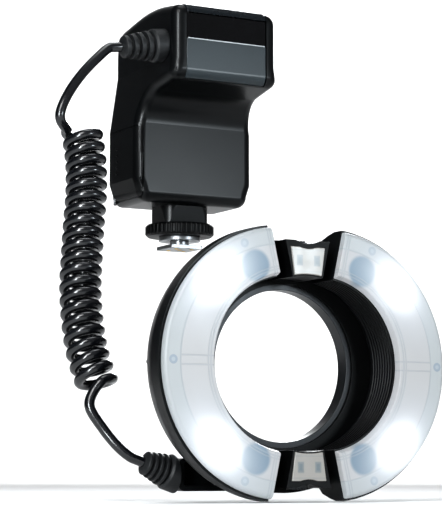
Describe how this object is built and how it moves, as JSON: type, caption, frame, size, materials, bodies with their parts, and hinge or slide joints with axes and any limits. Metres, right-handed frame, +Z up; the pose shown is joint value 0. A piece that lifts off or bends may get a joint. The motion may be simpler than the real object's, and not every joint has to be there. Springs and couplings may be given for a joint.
{
  "type": "macro ring flash",
  "caption": "Ring-shaped macro flash with sliding frosted halves on an adapter ring, wired by a curly cord to a shoe-mounted control unit with battery door and lock ring.",
  "frame": {"origin": "on the ring axis, at the adapter ring's shoulder where a filter rim seats", "axes": "+Y back along the ring axis, the way the filter thread points; +Z up; +X to the right seen from the front"},
  "size_m": [0.1736, 0.1568, 0.2537],
  "materials": {
    "case_plastic": "fine satin black with a faint green-blue tint",
    "ring_plastic": "dark grey satin",
    "frame_plastic": "matte black",
    "adapter_metal": "black anodised",
    "key_plastic": "satin dark grey",
    "red_key": "satin red",
    "diffuser": "frosted translucent white",
    "led_window": "clear with fine ribs",
    "circuit_board": "green board",
    "reflector": "bright",
    "tube_glass": "clear",
    "screw_steel": "blackened steel",
    "boot_rubber": "matte black",
    "cord": "glossy black",
    "visor": "glossy bluish black",
    "dark_window": "glossy near-black",
    "panel": "satin dark grey-green",
    "lamp_red": "deep red",
    "capacitor": "printed sleeve",
    "tray": "satin",
    "cell": "plain wrap",
    "contact": "polished",
    "display_glass": "clear",
    "display": "grey-green liquid crystal",
    "foot_steel": "satin steel",
    "lock_ring": "satin black, knurled edge"
  },
  "bodies": {
    "flash": {"front_shell": "case_plastic", "rear_shell": "case_plastic", "shoe_base": "case_plastic", "ring_frame": "frame_plastic", "ring_back_cover": "frame_plastic", "cable_housing": "frame_plastic", "led_window_top": "led_window", "led_window_bottom": "led_window", "led_board_top": "circuit_board", "led_board_bottom": "circuit_board", "sensor_board": "circuit_board", "main_board": "circuit_board", "cover_screws": "screw_steel", "case_screws": "screw_steel", "door_pin": "screw_steel", "ring_boot": "boot_rubber", "unit_boot": "boot_rubber", "curly_cord": "cord", "visor": "visor", "sensor_window": "dark_window", "lower_panel": "panel", "sensor_lamps": "lamp_red", "flash_capacitor": "capacitor", "battery_tray": "tray", "battery_cells": "cell", "battery_contacts": "contact", "shoe_contacts": "contact", "display_window": "display_glass", "display_panel": "display", "shoe_stem": "foot_steel", "shoe_foot": "foot_steel"},
    "left_half": {"left_housing": "ring_plastic", "left_diffuser": "diffuser", "left_reflectors": "reflector", "left_flash_tubes": "tube_glass", "left_guide_screws": "screw_steel", "left_diffuser_screws": "screw_steel"},
    "right_half": {"right_housing": "ring_plastic", "right_diffuser": "diffuser", "right_reflectors": "reflector", "right_flash_tubes": "tube_glass", "right_guide_screws": "screw_steel", "right_diffuser_screws": "screw_steel"},
    "adapter_ring": {"adapter_ring": "adapter_metal"},
    "release_button_top": {"release_button_top": "key_plastic"},
    "release_button_bottom": {"release_button_bottom": "key_plastic"},
    "battery_door": {"battery_door": "case_plastic"},
    "select_dial": {"select_dial": "key_plastic"},
    "set_button": {"set_button": "key_plastic"},
    "power_button": {"power_button": "key_plastic"},
    "test_button": {"test_button": "red_key"},
    "lock_ring": {"lock_ring": "lock_ring"},
    "clamp_plate": {"clamp_plate": "foot_steel"}
  },
  "joints": [
    {"name": "left_half_slide", "type": "slide", "parent": "flash", "child": "left_half", "axis": [1, 0, 0], "range_m": [0, 0.0065]},
    {"name": "right_half_slide", "type": "slide", "parent": "flash", "child": "right_half", "axis": [-1, 0, 0], "range_m": [0, 0.0065]},
    {"name": "release_top_press", "type": "slide", "parent": "flash", "child": "release_button_top", "axis": [0, 0, -1], "range_m": [0, 0.0015], "stiffness_N_per_m": 500},
    {"name": "release_bottom_press", "type": "slide", "parent": "flash", "child": "release_button_bottom", "axis": [0, 0, 1], "range_m": [0, 0.0015], "stiffness_N_per_m": 500},
    {"name": "adapter_turn", "type": "hinge", "parent": "flash", "child": "adapter_ring", "pos_m": [0, 0, 0], "axis": [0, 1, 0], "continuous": true},
    {"name": "battery_door_hinge", "type": "hinge", "parent": "flash", "child": "battery_door", "pos_m": [-0.0317, 0.1155, 0.10975], "axis": [0, 0, -1], "range_deg": [0, 95]},
    {"name": "dial_turn", "type": "hinge", "parent": "flash", "child": "select_dial", "pos_m": [0, 0.121, 0.131], "axis": [0, 1, 0], "continuous": true},
    {"name": "set_press", "type": "slide", "parent": "flash", "child": "set_button", "axis": [0, -1, 0], "range_m": [0, 0.0008], "stiffness_N_per_m": 500},
    {"name": "power_press", "type": "slide", "parent": "flash", "child": "power_button", "axis": [0, -1, 0], "range_m": [0, 0.0008], "stiffness_N_per_m": 500},
    {"name": "test_press", "type": "slide", "parent": "flash", "child": "test_button", "axis": [0, -1, 0], "range_m": [0, 0.0008], "stiffness_N_per_m": 500},
    {"name": "lock_ring_turn", "type": "hinge", "parent": "flash", "child": "lock_ring", "pos_m": [0, 0.1023, 0.0766], "axis": [0, 0, 1], "range_deg": [0, 180]},
    {"name": "clamp_plate_slide", "type": "slide", "parent": "flash", "child": "clamp_plate", "axis": [0, 0, -1], "range_m": [0, 0.001]}
  ],
  "couplings": [
    {"joint": "clamp_plate_slide", "follows": "lock_ring_turn", "m_per_rad": 0.000318}
  ]
}
